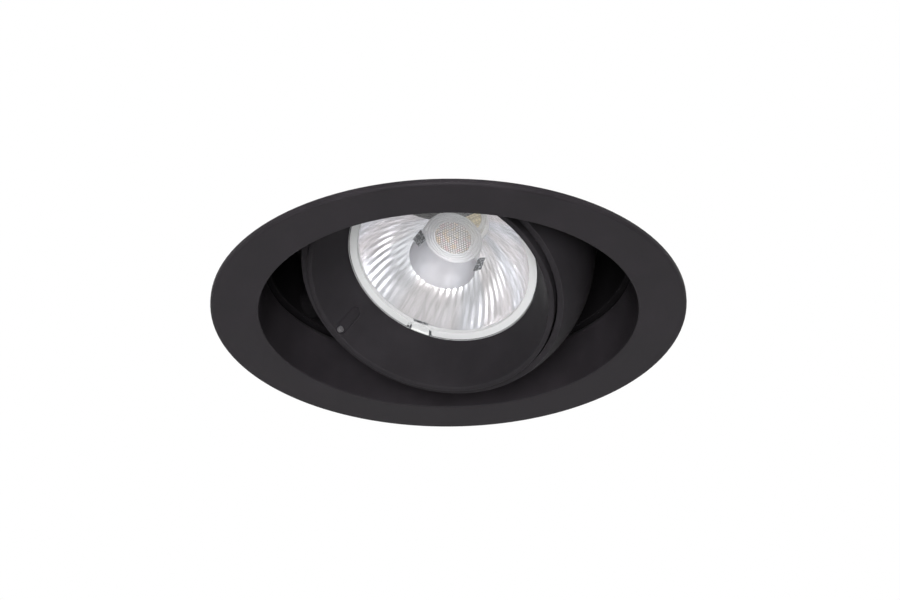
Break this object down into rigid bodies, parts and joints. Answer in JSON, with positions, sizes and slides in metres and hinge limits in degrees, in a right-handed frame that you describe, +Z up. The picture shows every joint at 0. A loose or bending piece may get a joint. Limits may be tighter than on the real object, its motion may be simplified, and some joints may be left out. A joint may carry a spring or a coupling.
{
  "type": "soffit downlight",
  "caption": "Round recessed ceiling downlight: a bezel with spring clips, a cradle that pans, and a tilting ball head with baffle, lens and finned heat sink.",
  "frame": {"origin": "centre of the bezel on the ceiling plane, where the top of its gasket meets the ceiling", "axes": "+Z up into the ceiling void, the tilt axis along X, the head leaning so that its mouth faces towards -Y"},
  "size_m": [0.2014, 0.2011, 0.1162],
  "materials": {
    "black_coat": "matt black powder coat on die-cast aluminium",
    "black_nylon": "moulded black nylon",
    "white_moulding": "moulded white plastic",
    "sealing_rubber": "soft black rubber",
    "spring_steel": "bright zinc plated steel",
    "screw_steel": "plated steel",
    "turned_brass": "turned brass",
    "clear_acrylic": "clear polished acrylic with a frosted rim and well",
    "phosphor": "yellow phosphor under clear gel",
    "board_face": "white solder mask on an aluminium board",
    "thermal_pad": "grey thermal pad",
    "lead_sheath": "red lead insulation"
  },
  "bodies": {
    "trim": {"trim_ring": "black_coat", "ceiling_gasket": "sealing_rubber", "glide_ring": "black_nylon", "keeper_plates": "spring_steel", "keeper_screws": "screw_steel", "bracket_rivets": "screw_steel", "clip_bracket_1": "spring_steel", "clip_bracket_2": "spring_steel", "clip_bracket_3": "spring_steel", "clip_pin_1": "screw_steel", "clip_pin_2": "screw_steel", "clip_pin_3": "screw_steel", "clip_spring_1": "spring_steel", "clip_spring_2": "spring_steel", "clip_spring_3": "spring_steel"},
    "cradle": {"cradle_ring": "black_coat", "pivot_bushes": "white_moulding"},
    "head": {"pivot_screws": "screw_steel", "pivot_inserts": "turned_brass", "friction_washers": "screw_steel", "ball_shell": "black_coat", "baffle": "black_coat", "baffle_catch": "screw_steel", "baffle_screws": "screw_steel", "lens": "clear_acrylic", "lens_gasket": "sealing_rubber", "lens_holder": "white_moulding", "holder_screws": "screw_steel", "led_board": "board_face", "led_emitter": "phosphor", "thermal_pad": "thermal_pad", "led_holder": "white_moulding", "led_holder_screws": "screw_steel", "terminal_block": "white_moulding", "terminal_screws": "turned_brass", "inner_leads": "lead_sheath", "rear_seal": "sealing_rubber", "heat_sink": "black_coat", "sink_fins": "black_coat", "heat_sink_screws": "screw_steel", "gland_body": "black_nylon", "gland_nut": "black_nylon", "gland_seal": "sealing_rubber", "gland_cap": "black_nylon"},
    "clip_1": {"clip_arm_1": "spring_steel", "clip_sleeve_1": "sealing_rubber"},
    "clip_2": {"clip_arm_2": "spring_steel", "clip_sleeve_2": "sealing_rubber"},
    "clip_3": {"clip_arm_3": "spring_steel", "clip_sleeve_3": "sealing_rubber"}
  },
  "joints": [
    {"name": "pan", "type": "hinge", "parent": "trim", "child": "cradle", "pos_m": [0, 0, 0], "axis": [0, 0, 1], "range_deg": [-177, 177]},
    {"name": "tilt", "type": "hinge", "parent": "cradle", "child": "head", "pos_m": [0, 0, 0.0275], "axis": [-1, 0, 0], "range_deg": [-57, 3]},
    {"name": "clip_1_fold", "type": "hinge", "parent": "trim", "child": "clip_1", "pos_m": [0, 0.0775, 0.0084], "axis": [1, 0, 0], "range_deg": [0, 90], "stiffness_Nm_per_rad": 0.069, "springref_deg": -28.65, "deforming": ["clip_spring_1"]},
    {"name": "clip_2_fold", "type": "hinge", "parent": "trim", "child": "clip_2", "pos_m": [-0.06712, -0.03875, 0.0084], "axis": [-0.5, 0.866, 0], "range_deg": [0, 90], "stiffness_Nm_per_rad": 0.069, "springref_deg": -28.65, "deforming": ["clip_spring_2"]},
    {"name": "clip_3_fold", "type": "hinge", "parent": "trim", "child": "clip_3", "pos_m": [0.06712, -0.03875, 0.0084], "axis": [-0.5, -0.866, 0], "range_deg": [0, 90], "stiffness_Nm_per_rad": 0.069, "springref_deg": -28.65, "deforming": ["clip_spring_3"]}
  ]
}
